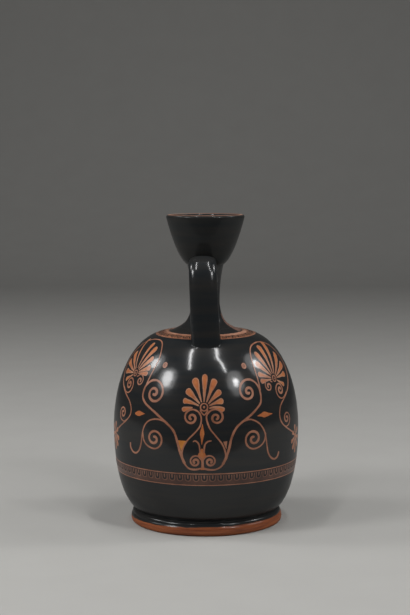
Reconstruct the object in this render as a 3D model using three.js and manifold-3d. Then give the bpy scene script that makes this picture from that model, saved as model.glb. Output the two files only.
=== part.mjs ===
// Squat lekythos: a small oil bottle with a round body, a narrow neck, a bell mouth and one strap handle.
// Foot, body, neck and mouth were thrown apart on the wheel, and the handle was pulled from a strip of clay.
// The leather-hard parts were stuck together with liquid clay, the luting slip, before black gloss and firing.
//
// Millimetres, +Z up. The origin is the centre of the ring that the foot rests on.
// The handle stands on the -Y side.

import * as THREE from 'three';
import { mergeVertices } from 'three/addons/utils/BufferGeometryUtils.js';
import Module from 'manifold-3d';

const wasm = await Module();
wasm.setup();

// Luting slip: films between the parts
const SLIP_THICKNESS = 0.6;
const SLIP_INSET = 0.3;          // how far a film stays inside the outer wall
const SEAT_GAP = 0.3;            // free space on each side of a film on a curved seat

// Ring foot with a rounded edge
const BASE_RADIUS = 47.4;        // line where foot and body meet
const FOOT_HEIGHT = 8.4;
const FOOT_SEAT_WIDTH = 10.4;    // width of the ring under the body
const FOOT_REST_INSET = 0.4;     // outside of the flat resting ring, inside the base line
const FOOT_REST_WIDTH = 7.0;
const FOOT_EDGE_OVERHANG = 1.9;  // widest line of the rounded edge, outside the base line
const FOOT_EDGE_HEIGHT = 3.2;
const FOOT_SLOPE_OVERHANG = 1.3; // where the edge ends and the black slope begins
const FOOT_SLOPE_HEIGHT = 5.6;

// Body
const BODY_HEIGHT = 118.2;       // foot seat to neck seat
const BELLY_RADIUS = 60.3;
const BELLY_HEIGHT = 53.0;       // widest ring above the foot seat
const LOWER_FULLNESS = 6.7;      // how far the low wall leans out as it leaves the foot
const LOWER_RISE = 6.0;
const BELLY_HOLD_BELOW = 30.0;   // length of the tangent that keeps the belly upright below its widest ring
const BELLY_HOLD_ABOVE = 29.0;   // and above it
const SHOULDER_RADIUS = 27.0;    // where the shoulder lies flattest
const SHOULDER_DROP = 2.9;       // that ring below the neck seat
const SHOULDER_REACH = 22.0;     // length of the flat tangent outwards from it
const SHOULDER_SLOPE = 0.127;    // fall of that tangent per millimetre
const BODY_WALL = 4.0;
const FLOOR_THICKNESS = 4.6;
const FLOOR_FILLET = 3.0;
const THROAT_FILLET = 3.0;

// Neck
const NECK_HEIGHT = 40.2;        // body seat to mouth seat
const NECK_FOOT_RADIUS = 14.8;   // body and neck share this line
const NECK_RADIUS = 9.1;         // narrowest ring
const NECK_WAIST_HEIGHT = 15.2;  // that ring above the body seat
const NECK_FLARE_RUN = 3.5;      // how far the flare runs in as it leaves the shoulder
const NECK_FLARE_LIFT = 2.7;
const NECK_HOLD_BELOW = 8.4;     // length of the tangent that keeps the waist upright below it
const NECK_HOLD_ABOVE = 10.0;    // and above it
const NECK_LEAN = 1.9;           // how far the top of the neck leans out to the mouth
const NECK_LEAN_TANGENT = 7.0;
const NECK_BORE_RADIUS = 6.0;    // pouring bore through body, neck and mouth

// Bell mouth
const MOUTH_HEIGHT = 31.4;       // neck seat to rim
const MOUTH_SEAT_RADIUS = 11.8;  // neck and mouth share this line
const RIM_RADIUS = 25.3;
const RIM_EDGE = 1.2;            // height of the upright outside edge of the rim
const RIM_ROUND = 0.7;
const RIM_WIDTH = 3.2;           // flat top of the lip
const BELL_SPREAD = 4.7;         // how far the bell turns out just above the neck
const BELL_LIFT = 3.4;
const BELL_LEAN = 3.3;           // how far the upper bell leans out to the rim
const BELL_TANGENT = 12.0;
const MOUTH_WALL = 3.4;
const THROAT_HEIGHT = 4.0;       // straight bore above the neck seat

// Strap handle, from the neck under the mouth down to the shoulder
const HANDLE_WIDTH = 17.0;
const HANDLE_THICKNESS = 6.0;
const HANDLE_SQUARENESS = 2.6;   // exponent of the oval section: 2 is an ellipse
const HANDLE_REACH = 35.0;       // axis of the vessel to the middle of the upright strap
const HANDLE_SPRING_DROP = 10.5; // neck root of the strap below the mouth seat
const HANDLE_SPRING_RUN = 11.0;  // level run of the strap as it leaves the neck
const HANDLE_APEX_REACH = 24.0;  // axis of the vessel to the top of the bend
const HANDLE_APEX_RUN = 7.2;     // level run of the strap before the top of the bend
const HANDLE_RISE = 2.4;         // top of the bend above the mouth seat
const HANDLE_CORNER_DROP = 12.0; // length of the tangent that pulls the bend out to the upright strap
const HANDLE_BEND_DROP = 27.0;   // height over which the bend turns into the upright strap
const HANDLE_ROOT_DEPTH = 7.0;   // how far the strap is carried past its seats before they cut it

// Fineness of the facets
const TURN_SEGMENTS = 40;
const CURVE_STEPS = 8;
const HANDLE_STEPS = 36;
const SECTION_STEPS = 20;

// Rings of the foot, measured from the base line
const footHollow = BASE_RADIUS - FOOT_SEAT_WIDTH;
const footRest = BASE_RADIUS - FOOT_REST_INSET;
const footEdge = BASE_RADIUS + FOOT_EDGE_OVERHANG;
const footSlope = BASE_RADIUS + FOOT_SLOPE_OVERHANG;

// Levels of the seats, stacked from the table up
const footTop = FOOT_HEIGHT;
const bodyBase = footTop + SLIP_THICKNESS;
const bodyTop = bodyBase + BODY_HEIGHT;
const neckBase = bodyTop + SLIP_THICKNESS;
const neckTop = neckBase + NECK_HEIGHT;
const mouthBase = neckTop + SLIP_THICKNESS;
const rimTop = mouthBase + MOUTH_HEIGHT;

const blackGloss = new THREE.MeshStandardMaterial({ color: 0x202122, roughness: 0.26, metalness: 0 });
const reservedClay = new THREE.MeshStandardMaterial({ color: 0xb4683c, roughness: 0.6, metalness: 0 });
const firedSlip = new THREE.MeshStandardMaterial({ color: 0xa65f3a, roughness: 0.85, metalness: 0 });

const vessel = new THREE.Group();
vessel.name = 'squat_lekythos';

function addPiece(name, geometry, material) {
  const piece = new THREE.Mesh(geometry, material);
  piece.name = name;
  vessel.add(piece);
}

// Profiles are drawn as (radius, height) and turned about the vertical axis.
function turned(points) {
  const geometry = new THREE.LatheGeometry(points, TURN_SEGMENTS);
  return geometry.rotateX(Math.PI / 2);
}

function flatRing(innerRadius, outerRadius, bottom, top) {
  const path = new THREE.Path();
  path.moveTo(innerRadius, bottom);
  path.lineTo(outerRadius, bottom);
  path.lineTo(outerRadius, top);
  path.lineTo(innerRadius, top);
  path.closePath();
  return turned(path.getPoints(1));
}

// Moves each point of a line sideways: to the right of its direction for a positive distance.
function offsetLine(points, distance) {
  return points.map((point, i) => {
    const before = points[Math.max(i - 1, 0)];
    const after = points[Math.min(i + 1, points.length - 1)];
    const along = new THREE.Vector2().subVectors(after, before).normalize();
    return new THREE.Vector2(point.x + along.y * distance, point.y - along.x * distance);
  });
}

// Outer lines, each running upwards

function bodyLine() {
  const belly = bodyBase + BELLY_HEIGHT;
  const shoulder = bodyTop - SHOULDER_DROP;
  const path = new THREE.Path();
  path.moveTo(BASE_RADIUS, bodyBase);
  path.bezierCurveTo(
    BASE_RADIUS + LOWER_FULLNESS, bodyBase + LOWER_RISE,
    BELLY_RADIUS, belly - BELLY_HOLD_BELOW,
    BELLY_RADIUS, belly,
  );
  path.bezierCurveTo(
    BELLY_RADIUS, belly + BELLY_HOLD_ABOVE,
    SHOULDER_RADIUS + SHOULDER_REACH, shoulder - SHOULDER_REACH * SHOULDER_SLOPE,
    SHOULDER_RADIUS, shoulder,
  );
  return path.getPoints(CURVE_STEPS + 2);
}

// The shoulder turns up into a low collar that the neck stands on.
function collarLine() {
  const shoulder = bodyTop - SHOULDER_DROP;
  const turn = (SHOULDER_RADIUS + NECK_FOOT_RADIUS) / 2;
  const path = new THREE.Path();
  path.moveTo(SHOULDER_RADIUS, shoulder);
  path.quadraticCurveTo(
    turn, shoulder + (SHOULDER_RADIUS - turn) * SHOULDER_SLOPE,
    NECK_FOOT_RADIUS, bodyTop,
  );
  return path.getPoints(CURVE_STEPS / 2).slice(1);
}

function neckLine() {
  const waist = neckBase + NECK_WAIST_HEIGHT;
  const path = new THREE.Path();
  path.moveTo(NECK_FOOT_RADIUS, neckBase);
  path.bezierCurveTo(
    NECK_FOOT_RADIUS - NECK_FLARE_RUN, neckBase + NECK_FLARE_LIFT,
    NECK_RADIUS, waist - NECK_HOLD_BELOW,
    NECK_RADIUS, waist,
  );
  path.bezierCurveTo(
    NECK_RADIUS, waist + NECK_HOLD_ABOVE,
    MOUTH_SEAT_RADIUS - NECK_LEAN, neckTop - NECK_LEAN_TANGENT,
    MOUTH_SEAT_RADIUS, neckTop,
  );
  return path.getPoints(CURVE_STEPS);
}

function makeFoot() {
  const restInner = footRest - FOOT_REST_WIDTH;
  const path = new THREE.Path();
  path.moveTo(restInner, 0);
  path.lineTo(footRest, 0);
  path.quadraticCurveTo(footEdge, 0, footEdge, FOOT_EDGE_HEIGHT);
  path.quadraticCurveTo(footEdge, FOOT_SLOPE_HEIGHT, footSlope, FOOT_SLOPE_HEIGHT);
  path.lineTo(BASE_RADIUS, footTop);
  path.lineTo(footHollow, footTop);
  path.quadraticCurveTo(footHollow, 0, restInner, 0);
  addPiece('foot', turned(path.getPoints(CURVE_STEPS / 2)), reservedClay);
  addPiece(
    'foot_luting_slip',
    flatRing(footHollow + SLIP_INSET, BASE_RADIUS - SLIP_INSET, footTop, bodyBase),
    firedSlip,
  );
}

function makeBody() {
  const floor = bodyBase + FLOOR_THICKNESS;
  const inside = offsetLine(bodyLine(), -BODY_WALL)
    .filter((point) => point.y > floor + FLOOR_FILLET / 2)
    .reverse();
  const ceiling = inside[0];
  const corner = inside[inside.length - 1];
  const throat = new THREE.Path();
  throat.moveTo(NECK_BORE_RADIUS, bodyTop);
  throat.lineTo(NECK_BORE_RADIUS, ceiling.y + THROAT_FILLET);
  throat.quadraticCurveTo(NECK_BORE_RADIUS, ceiling.y, ceiling.x, ceiling.y);
  const profile = [
    new THREE.Vector2(0, bodyBase),
    ...bodyLine(),
    ...collarLine(),
    ...throat.getPoints(CURVE_STEPS / 2),
    ...inside.slice(1),
    new THREE.Vector2(corner.x - FLOOR_FILLET, floor),
    new THREE.Vector2(0, floor),
  ];
  addPiece('body', turned(profile), blackGloss);
}

function makeNeck() {
  const profile = [
    new THREE.Vector2(NECK_BORE_RADIUS, neckBase),
    ...neckLine(),
    new THREE.Vector2(NECK_BORE_RADIUS, neckTop),
    new THREE.Vector2(NECK_BORE_RADIUS, neckBase),
  ];
  addPiece('neck', turned(profile), blackGloss);
  addPiece(
    'neck_luting_slip',
    flatRing(NECK_BORE_RADIUS + SLIP_INSET, NECK_FOOT_RADIUS - SLIP_INSET, bodyTop, neckBase),
    firedSlip,
  );
}

function makeMouth() {
  const edge = rimTop - RIM_EDGE - RIM_ROUND;
  const lip = RIM_RADIUS - RIM_ROUND - RIM_WIDTH;
  const path = new THREE.Path();
  path.moveTo(NECK_BORE_RADIUS, mouthBase);
  path.lineTo(MOUTH_SEAT_RADIUS, mouthBase);
  path.bezierCurveTo(
    MOUTH_SEAT_RADIUS + BELL_SPREAD, mouthBase + BELL_LIFT,
    RIM_RADIUS - BELL_LEAN, edge - BELL_TANGENT,
    RIM_RADIUS, edge,
  );
  path.lineTo(RIM_RADIUS, rimTop - RIM_ROUND);
  path.quadraticCurveTo(RIM_RADIUS, rimTop, RIM_RADIUS - RIM_ROUND, rimTop);
  path.lineTo(lip, rimTop);
  path.bezierCurveTo(
    RIM_RADIUS - BELL_LEAN - MOUTH_WALL, edge - BELL_TANGENT,
    MOUTH_SEAT_RADIUS + BELL_SPREAD - MOUTH_WALL, mouthBase + BELL_LIFT + THROAT_HEIGHT,
    NECK_BORE_RADIUS, mouthBase + THROAT_HEIGHT,
  );
  path.closePath();
  addPiece('mouth', turned(path.getPoints(CURVE_STEPS)), blackGloss);
  addPiece(
    'mouth_luting_slip',
    flatRing(NECK_BORE_RADIUS + SLIP_INSET, MOUTH_SEAT_RADIUS - SLIP_INSET, neckTop, mouthBase),
    firedSlip,
  );
}

// Solids that can be cut, and the way back to a geometry

function solidOf(geometry) {
  const bare = geometry.clone();
  bare.deleteAttribute('normal');
  bare.deleteAttribute('uv');
  const merged = mergeVertices(bare);
  const mesh = new wasm.Mesh({
    numProp: 3,
    vertProperties: new Float32Array(merged.attributes.position.array),
    triVerts: new Uint32Array(merged.index.array),
  });
  return new wasm.Manifold(mesh);
}

function geometryOf(solid) {
  const mesh = solid.getMesh();
  const geometry = new THREE.BufferGeometry();
  geometry.setAttribute('position', new THREE.BufferAttribute(mesh.vertProperties, 3));
  geometry.setIndex(new THREE.BufferAttribute(mesh.triVerts, 1));
  const faceted = geometry.toNonIndexed();
  faceted.computeVertexNormals();
  return faceted;
}

// Everything within a wall's outer line, grown by a distance: the tool that cuts a strap end to its seat.
function seatTool(line, distance) {
  const grown = offsetLine(line, distance);
  const first = grown[0];
  const last = grown[grown.length - 1];
  const profile = [
    new THREE.Vector2(0, first.y),
    ...grown,
    new THREE.Vector2(0, last.y),
  ];
  return solidOf(turned(profile));
}

function handlePath() {
  const apex = mouthBase + HANDLE_RISE;
  const spring = mouthBase - HANDLE_SPRING_DROP;
  const upright = apex - HANDLE_BEND_DROP;
  const root = bodyTop - SHOULDER_DROP - HANDLE_ROOT_DEPTH;
  const inNeck = NECK_RADIUS - HANDLE_ROOT_DEPTH;
  const point = (reach, height) => new THREE.Vector3(0, -reach, height);
  const path = new THREE.CurvePath();
  path.add(new THREE.CubicBezierCurve3(
    point(inNeck, spring),
    point(inNeck + HANDLE_SPRING_RUN, spring),
    point(HANDLE_APEX_REACH - HANDLE_APEX_RUN, apex),
    point(HANDLE_APEX_REACH, apex),
  ));
  path.add(new THREE.CubicBezierCurve3(
    point(HANDLE_APEX_REACH, apex),
    point(HANDLE_REACH, apex),
    point(HANDLE_REACH, apex - HANDLE_CORNER_DROP),
    point(HANDLE_REACH, upright),
  ));
  path.add(new THREE.LineCurve3(point(HANDLE_REACH, upright), point(HANDLE_REACH, root)));
  return path;
}

function handleSection() {
  const power = 2 / HANDLE_SQUARENESS;
  const bulge = (value) => Math.sign(value) * Math.abs(value) ** power;
  const points = [];
  for (let i = 0; i < SECTION_STEPS; i += 1) {
    const angle = (2 * Math.PI * i) / SECTION_STEPS;
    points.push(new THREE.Vector2(
      bulge(Math.cos(angle)) * HANDLE_WIDTH / 2,
      bulge(Math.sin(angle)) * HANDLE_THICKNESS / 2,
    ));
  }
  return new THREE.Shape(points);
}

function makeHandle() {
  const strap = solidOf(new THREE.ExtrudeGeometry(handleSection(), {
    extrudePath: handlePath(),
    steps: HANDLE_STEPS,
    bevelEnabled: false,
  }));
  const shoulderLine = [...bodyLine(), ...collarLine()];
  const filmTop = SEAT_GAP + SLIP_THICKNESS;
  const clear = filmTop + SEAT_GAP;
  const handle = strap
    .subtract(seatTool(shoulderLine, clear))
    .subtract(seatTool(neckLine(), clear));
  addPiece('handle', geometryOf(handle), blackGloss);
  const film = (line) => strap
    .intersect(seatTool(line, filmTop))
    .subtract(seatTool(line, SEAT_GAP));
  addPiece('handle_top_luting_slip', geometryOf(film(neckLine())), firedSlip);
  addPiece('handle_root_luting_slip', geometryOf(film(shoulderLine)), firedSlip);
}

makeFoot();
makeBody();
makeNeck();
makeMouth();
makeHandle();

export default vessel;
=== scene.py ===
# %% [markdown]
# # A squat oil bottle in black gloss
#
# The object is a small pottery oil bottle on a ring foot. A potter threw the foot, the body, the neck
# and the mouth on a wheel, pulled a strap handle, and stuck the parts together with liquid clay. A painter
# then covered everything but the ornament with a fine slip that fires to a black gloss, so the palmettes
# are the bare orange clay that the black goes round.
#
# The lesson loads the measured parts, sets up a plain studio, throws each part with Geometry Nodes, and
# then paints the ornament as very thin raised strokes, so that it stays crisp from every side.

# %% Load the measured parts
import math

import bpy
from mathutils import Matrix, Vector


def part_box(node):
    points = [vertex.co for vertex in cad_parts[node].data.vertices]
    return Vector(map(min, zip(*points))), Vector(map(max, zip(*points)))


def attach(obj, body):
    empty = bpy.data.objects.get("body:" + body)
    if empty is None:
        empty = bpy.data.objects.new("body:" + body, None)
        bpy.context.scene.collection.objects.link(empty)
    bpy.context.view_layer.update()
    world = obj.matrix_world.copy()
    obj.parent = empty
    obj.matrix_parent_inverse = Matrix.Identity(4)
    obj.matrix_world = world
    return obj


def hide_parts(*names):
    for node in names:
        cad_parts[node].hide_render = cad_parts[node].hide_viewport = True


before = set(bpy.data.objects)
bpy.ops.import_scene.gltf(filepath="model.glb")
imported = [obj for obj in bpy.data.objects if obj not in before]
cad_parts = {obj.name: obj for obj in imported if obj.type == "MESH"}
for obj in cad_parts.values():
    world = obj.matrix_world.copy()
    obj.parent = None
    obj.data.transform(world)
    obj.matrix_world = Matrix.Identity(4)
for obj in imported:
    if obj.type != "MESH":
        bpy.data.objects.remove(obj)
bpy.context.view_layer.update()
print("measured parts:", ", ".join(sorted(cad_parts)))

# %% Measures that come from the parts
MM = 0.001


def millimetres(node):
    """The lowest and highest corner of a measured part, in millimetres."""
    low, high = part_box(node)
    return low / MM, high / MM


foot_high = millimetres("foot")[1]
body_low, body_high = millimetres("body")
neck_low, neck_high = millimetres("neck")
mouth_low, mouth_high = millimetres("mouth")
handle_low, handle_high = millimetres("handle")

foot_seam = (foot_high.z + body_low.z) / 2
neck_seam = (body_high.z + neck_low.z) / 2
mouth_seam = (neck_high.z + mouth_low.z) / 2
rim_level = mouth_high.z
belly_radius = body_high.x
rim_radius = mouth_high.x
print(f"height {rim_level:.1f} mm, belly radius {belly_radius:.1f} mm, rim radius {rim_radius:.1f} mm")

# %% [markdown]
# ## The studio
#
# The bottle stands on a sheet of pale paper that curves up far behind it. Four round lamps stand at the
# places that the glints on the gloss give away, two in front and two at the sides. Each is a bright disc in
# a wider, dimmer one, as a bulb glows through its cloth. Strip lamps hang overhead, one on the left and two
# that meet at an angle on the right. A picture of a room could light the bottle too, but black gloss shows
# its lamps as clear spots, so each lamp is a real one that can be put in its place. The camera is far back
# with a long lens, a little above the mouth, as a museum photographer would put it.

# %% Camera
CAMERA_DISTANCE = 1030
CAMERA_HEIGHT = 258.6
CAMERA_ORBIT = math.radians(1.2)
CAMERA_ROLL = math.radians(-0.223)
AIM_AT = Vector((-0.42, 0.0, 139.7))
FOCAL_PIXELS = 1596
IMAGE_HEIGHT = 615


def put(name, data):
    """A new object that holds this data, linked to the scene."""
    made = bpy.data.objects.new(name, data)
    bpy.context.scene.collection.objects.link(made)
    return made


camera_data = bpy.data.cameras.new("studio_camera")
camera_data.lens = FOCAL_PIXELS / IMAGE_HEIGHT * camera_data.sensor_width
camera = put("studio_camera", camera_data)
camera_place = Vector((
    CAMERA_DISTANCE * math.sin(CAMERA_ORBIT),
    -CAMERA_DISTANCE * math.cos(CAMERA_ORBIT),
    CAMERA_HEIGHT,
))
camera.location = camera_place * MM
gaze = (AIM_AT - camera_place).to_track_quat("-Z", "Y")
camera.rotation_euler = gaze.to_euler()
camera.rotation_euler.rotate_axis("Z", CAMERA_ROLL)
bpy.context.scene.camera = camera
bpy.context.scene.view_settings.view_transform = "Standard"
print(f"lens {camera_data.lens:.1f} mm")

# %% Hanging a lamp
lamps_face = Vector((0, 0, body_high.z * 0.8))


def hang_lamp(name, place, size, watts, length=None, along=Vector((0, 0, 1))):
    """A soft lamp that faces the shoulder: round, or a strip if a length and its direction are given."""
    lamp_data = bpy.data.lights.new(name, "AREA")
    lamp_data.shape = "RECTANGLE" if length else "DISK"
    lamp_data.size = size * MM
    if length:
        lamp_data.size_y = length * MM
    lamp_data.energy = watts
    lamp = put(name, lamp_data)
    lamp.location = place * MM
    back = (place - lamps_face).normalized()
    across = along.cross(back).normalized()
    lamp.rotation_euler = Matrix((across, back.cross(across), back)).transposed().to_euler()


# %% Round lamps
LAMP_DISTANCE = 1300
CLOTH_WATTS_PER_SQUARE_METRE = 10.0

# For each lamp: degrees to the right of the handle, degrees up, bulb width, bulb watts and cloth width
ROUND_LAMPS = {
    "front_left_lamp": (-58.0, 30.9, 320, 5.2, 560),
    "front_right_lamp": (45.0, 30.6, 165, 2.4, 520),
    "side_left_lamp": (-93.7, 36.4, 260, 3.4, 560),
    "side_right_lamp": (94.0, 35.8, 200, 3.0, 680),
}
for name, (azimuth, elevation, bulb, watts, cloth) in ROUND_LAMPS.items():
    turn = math.radians(azimuth)
    rise = math.radians(elevation)
    away = Vector((math.sin(turn) * math.cos(rise), -math.cos(turn) * math.cos(rise), math.sin(rise)))
    place = lamps_face + away * LAMP_DISTANCE
    cloth_area = math.pi * (cloth * MM / 2) ** 2
    hang_lamp(name, place, bulb, watts)
    hang_lamp(name + "_cloth", place, cloth, CLOTH_WATTS_PER_SQUARE_METRE * cloth_area)
print("round lamps:", ", ".join(ROUND_LAMPS))

# %% Strip lamps
STRIP_HEIGHT = 1100
STRIP_WIDTH = 30
STRIP_WATTS_PER_METRE = 5.0
above = Vector((0, 0, body_high.z))

# For each strip: its far end and its near end, to the right and to the back, as shares of its height
STRIPS = {
    "left_strip_lamp": ((-0.203, 0.070), (-0.415, -0.725)),
    "right_far_strip_lamp": ((0.160, 0.075), (0.240, -0.365)),
    "right_near_strip_lamp": ((0.240, -0.365), (0.562, -0.820)),
}
for name, ends in STRIPS.items():
    far_end, near_end = (Vector((x, y, 1)) * STRIP_HEIGHT for x, y in ends)
    run = far_end - near_end
    watts = STRIP_WATTS_PER_METRE * run.length * MM
    hang_lamp(name, above + (near_end + far_end) / 2, STRIP_WIDTH, watts, run.length, run)
print("strip lamps:", ", ".join(STRIPS))

# %% Colours


def paint(hex_colour):
    """An sRGB hex colour as the linear numbers that shader sockets take."""
    linear = []
    for i in (1, 3, 5):
        part = int(hex_colour[i:i + 2], 16) / 255
        linear.append(part / 12.92 if part <= 0.04045 else ((part + 0.055) / 1.055) ** 2.4)
    return (*linear, 1.0)


# %% Nodes


def wire(tree, node, inputs):
    """Fills a node's inputs: a plain value is set, a socket or another node's first output is linked."""
    for key, value in inputs.items():
        if isinstance(value, bpy.types.Node):
            value = value.outputs[0]
        if isinstance(value, bpy.types.NodeSocket):
            tree.links.new(value, node.inputs[key])
        else:
            node.inputs[key].default_value = value


def add(tree, kind, inputs=None, stops=(), **settings):
    """Adds a node with its settings and inputs; a colour ramp takes its stops, the two ends first."""
    made = tree.nodes.new(kind)
    for key, value in settings.items():
        setattr(made, key, value)
    wire(tree, made, inputs or {})
    for i, (position, colour) in enumerate(stops):
        stop = made.color_ramp.elements[i] if i < 2 else made.color_ramp.elements.new(position)
        stop.position = position
        stop.color = paint(colour)
    return made


# %% Materials


def new_material(name):
    """A material with its tree, its shader and the Object coordinates that its patterns are drawn on."""
    material = bpy.data.materials.new(name)
    material.use_nodes = True
    tree = material.node_tree
    place = add(tree, "ShaderNodeTexCoord").outputs["Object"]
    return material, tree, tree.nodes["Principled BSDF"], place


def per_mm(size):
    """The texture scale at which one cell of a pattern is this many millimetres wide."""
    return 1 / (size * MM)


# %% Room light
ROOM_STRENGTH = 0.06

world = bpy.data.worlds.new("studio_room")
world.use_nodes = True
room = world.node_tree.nodes["Background"]
wire(world.node_tree, room, {"Color": paint("#FFFFFF"), "Strength": ROOM_STRENGTH})
bpy.context.scene.world = world

# %% Paper sweep
SWEEP_FRONT = -240
SWEEP_BACK = 1500
SWEEP_BEND = 800
SWEEP_TOP = 2300
SWEEP_HALF_WIDTH = 900
BEND_STEPS = 24

# Matt paper: no sheen, and a mottle so faint that the eye takes it for an even grey
paper, tree, shader, place = new_material("matt_background_paper")
fibre = add(tree, "ShaderNodeTexNoise", {"Vector": place, "Scale": per_mm(40), "Detail": 3.0})
tint = add(tree, "ShaderNodeValToRGB", {"Fac": fibre}, stops=((0.0, "#969592"), (1.0, "#9B9A97")))
wire(tree, shader, {"Base Color": tint, "Roughness": 0.9, "Specular IOR Level": 0.1})

edge = [(SWEEP_FRONT, 0)]
for i in range(BEND_STEPS + 1):
    turn = math.pi / 2 * i / BEND_STEPS
    edge.append((SWEEP_BACK + SWEEP_BEND * math.sin(turn), SWEEP_BEND * (1 - math.cos(turn))))
edge.append((SWEEP_BACK + SWEEP_BEND, SWEEP_TOP))
corners = [(x, y, z) for y, z in edge for x in (-SWEEP_HALF_WIDTH, SWEEP_HALF_WIDTH)]
sheets = [(2 * i, 2 * i + 1, 2 * i + 3, 2 * i + 2) for i in range(len(edge) - 1)]
sweep_mesh = bpy.data.meshes.new("paper_sweep")
sweep_mesh.from_pydata([Vector(corner) * MM for corner in corners], [], sheets)
sweep_mesh.shade_smooth()
sweep_mesh.materials.append(paper)
paper_sweep = put("paper_sweep", sweep_mesh)
print("paper sweep faces:", len(sweep_mesh.polygons))

# %% [markdown]
# ## Fired clay and black gloss
#
# The clay is a fine orange earthenware, burnished before it was painted, so it has a low sheen. The black
# is the same clay washed very fine and sintered in the kiln: a film a few hundredths of a millimetre
# thick, satin to glossy, laid on with a broad brush while the pot turned. The brush leaves level streaks,
# and a few pits and chips let the orange show. Image textures would need an unwrapped wall and blur close
# up, so both finishes are drawn with noise on Object coordinates, with every scale worked out from a size
# in millimetres.

# %% Black gloss


def sintered_black_gloss(
        name, low=None, high=None, wander_by=0.7, thins_over=0.2, lean=(0, 0), clay="#8A4B30", shine=0.14,
        film=("#1A1D1F", "#252321")):
    """Satin black over orange clay, between two levels in mm. Its hand-painted edge wanders and leans."""
    material, tree, shader, place = new_material(name)

    # Level streaks of the broad brush, about 60 mm long and 4 mm tall
    flat = add(tree, "ShaderNodeMapping", {"Vector": place, "Scale": (1, 1, 15)})
    streak = add(tree, "ShaderNodeTexNoise", {
        "Vector": flat, "Scale": per_mm(60), "Detail": 5.0, "Roughness": 0.6})
    black = add(tree, "ShaderNodeValToRGB", {"Fac": streak}, stops=((0.35, film[0]), (0.75, film[1])))

    # Chips, under half a millimetre across, where grit broke the film
    cells = add(tree, "ShaderNodeTexVoronoi", {"Vector": place, "Scale": per_mm(5.0)})
    chip_size = add(tree, "ShaderNodeMapRange", {"Value": cells, "From Min": 0.07, "From Max": 0.04})
    lottery = add(tree, "ShaderNodeSeparateColor", {"Color": cells.outputs["Color"]})
    chosen = add(tree, "ShaderNodeMath", {0: lottery, 1: 0.985}, operation="GREATER_THAN")
    bare = add(tree, "ShaderNodeMath", {0: chip_size, 1: chosen}, operation="MULTIPLY")

    # The painted edge wanders by a few tenths of a millimetre
    waver = add(tree, "ShaderNodeTexNoise", {"Vector": place, "Scale": per_mm(9), "Detail": 3.0})
    height = add(tree, "ShaderNodeVectorMath", {
        0: place, 1: (-lean[0], -lean[1], 1)}, operation="DOT_PRODUCT")
    wander = add(tree, "ShaderNodeMath", {
        0: waver, 1: 2 * wander_by * MM, 2: height.outputs["Value"]}, operation="MULTIPLY_ADD")
    for level, sign in ((low, -1), (high, 1)):
        if level is None:
            continue
        edge_at = (level + wander_by) * MM
        past = add(tree, "ShaderNodeMapRange", {
            "Value": wander, "From Min": edge_at - sign * thins_over / 2 * MM,
            "From Max": edge_at + sign * thins_over / 2 * MM})
        bare = add(tree, "ShaderNodeMath", {0: bare, 1: past}, operation="MAXIMUM")

    cloud = add(tree, "ShaderNodeTexNoise", {
        "Vector": flat, "Scale": per_mm(25), "Detail": 6.0, "Roughness": 0.65})
    earth = add(tree, "ShaderNodeValToRGB", {"Fac": cloud}, stops=((0.3, "#5E3122"), (0.7, clay)))
    colour = add(tree, "ShaderNodeMix", {"Factor": bare, "A": black, "B": earth}, data_type="RGBA")
    polish = add(tree, "ShaderNodeMapRange", {"Value": streak, "To Min": 0.26, "To Max": 0.38})
    dull = add(tree, "ShaderNodeMix", {"Factor": bare, "A": polish, "B": 0.5}, data_type="FLOAT")

    # Dimples left by the wheel, pits half a millimetre wide, and the grit under the film, which is finer
    # on the real bottle and drawn this coarse so that it shows
    dimple = add(tree, "ShaderNodeTexNoise", {"Vector": place, "Scale": per_mm(7), "Detail": 2.0})
    pores = add(tree, "ShaderNodeTexVoronoi", {"Vector": place, "Scale": per_mm(3.0)})
    pit = add(tree, "ShaderNodeMapRange", {"Value": pores, "From Min": 0.02, "From Max": 0.14})
    grit = add(tree, "ShaderNodeTexNoise", {"Vector": place, "Scale": per_mm(0.8), "Detail": 2.0})
    broad = add(tree, "ShaderNodeBump", {"Height": dimple, "Strength": 0.5, "Distance": 0.16 * MM})
    pitted = add(tree, "ShaderNodeBump", {
        "Height": pit, "Strength": 0.5, "Distance": 0.12 * MM, "Normal": broad})
    fine = add(tree, "ShaderNodeBump", {
        "Height": grit, "Strength": 0.5, "Distance": 0.012 * MM, "Normal": pitted})

    # A weak coat of high index mirrors the lamps as clear spots and leaves the black between them dark
    wire(tree, shader, {
        "Base Color": colour.outputs[2], "Roughness": dull.outputs[0], "Normal": fine,
        "Specular IOR Level": 0.04, "Coat Weight": shine, "Coat IOR": 2.8, "Coat Roughness": 0.13})
    return material


# %% Bare clay


def burnished_clay(name, dark, middle, pale, sheen_roughness=0.42, clouds=9.0):
    """Burnished orange earthenware: clouds of colour this many mm wide, fine grit and a low sheen."""
    material, tree, shader, place = new_material(name)
    cloud = add(tree, "ShaderNodeTexNoise", {
        "Vector": place, "Scale": per_mm(clouds), "Detail": 6.0, "Roughness": 0.65})
    earth = add(tree, "ShaderNodeValToRGB", {"Fac": cloud}, stops=(
        (0.28, dark), (0.74, pale), (0.5, middle)))
    rub = add(tree, "ShaderNodeMapRange", {
        "Value": cloud, "To Min": sheen_roughness - 0.1, "To Max": sheen_roughness + 0.1})

    # Grit, again drawn coarser than it is
    grit = add(tree, "ShaderNodeTexNoise", {"Vector": place, "Scale": per_mm(0.6), "Detail": 3.0})
    grain = add(tree, "ShaderNodeBump", {"Height": grit, "Strength": 0.5, "Distance": 0.03 * MM})
    wire(tree, shader, {
        "Base Color": earth, "Roughness": rub, "Normal": grain,
        "Specular IOR Level": 0.35, "Coat Weight": 0.35, "Coat Roughness": 0.18})
    return material


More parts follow.
